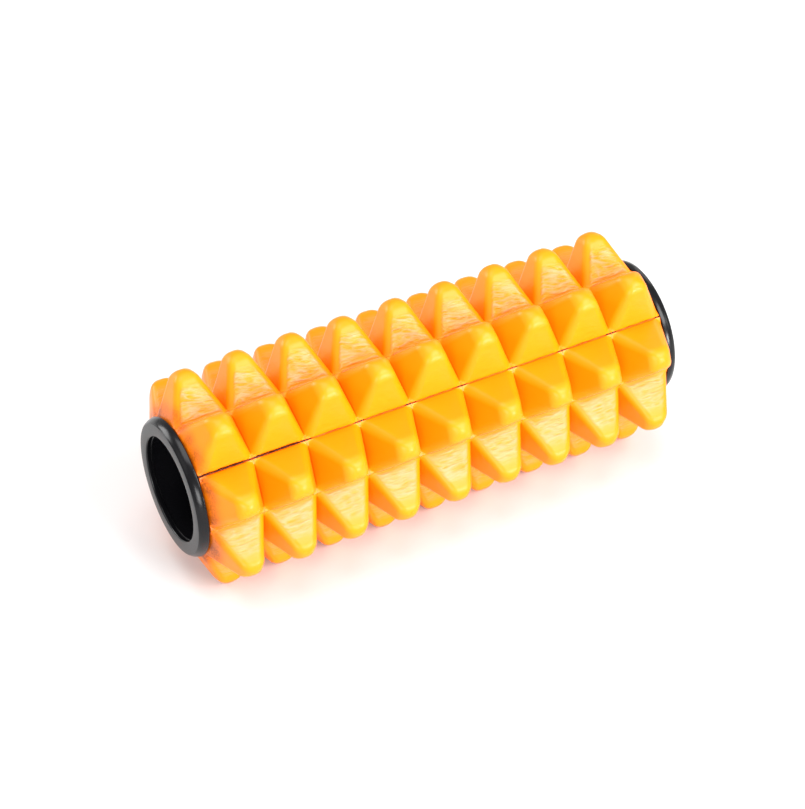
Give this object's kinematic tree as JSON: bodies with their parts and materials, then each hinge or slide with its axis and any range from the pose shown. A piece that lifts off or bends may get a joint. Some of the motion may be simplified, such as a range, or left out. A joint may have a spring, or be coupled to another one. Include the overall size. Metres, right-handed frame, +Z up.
{
  "type": "foam roller",
  "caption": "Hollow-core massage roller: a foam sleeve of rounded pyramids in straight rows, bonded round a plastic tube with a flanged ring pressed into each end.",
  "frame": {"origin": "centre of the roller, on its axis", "axes": "+X along the roller's axis towards the right ring, +Y to the back, +Z up as it rests on two rows of pyramids; the seam's groove faces up and to the front"},
  "size_m": [0.33, 0.1306, 0.1306],
  "materials": {
    "foam": "moulded closed-cell foam with a smooth satin skin, finely wrinkled on the flanks that face round the roller",
    "ring_plastic": "satin black moulding",
    "core_plastic": "matt black extrusion",
    "cement": "dried contact cement, uneven and slightly glossy"
  },
  "bodies": {
    "root": {"foam_sleeve": "foam", "core_tube": "core_plastic", "left_end_ring": "ring_plastic", "right_end_ring": "ring_plastic", "sleeve_adhesive": "cement", "seam_adhesive": "cement"}
  },
  "joints": []
}
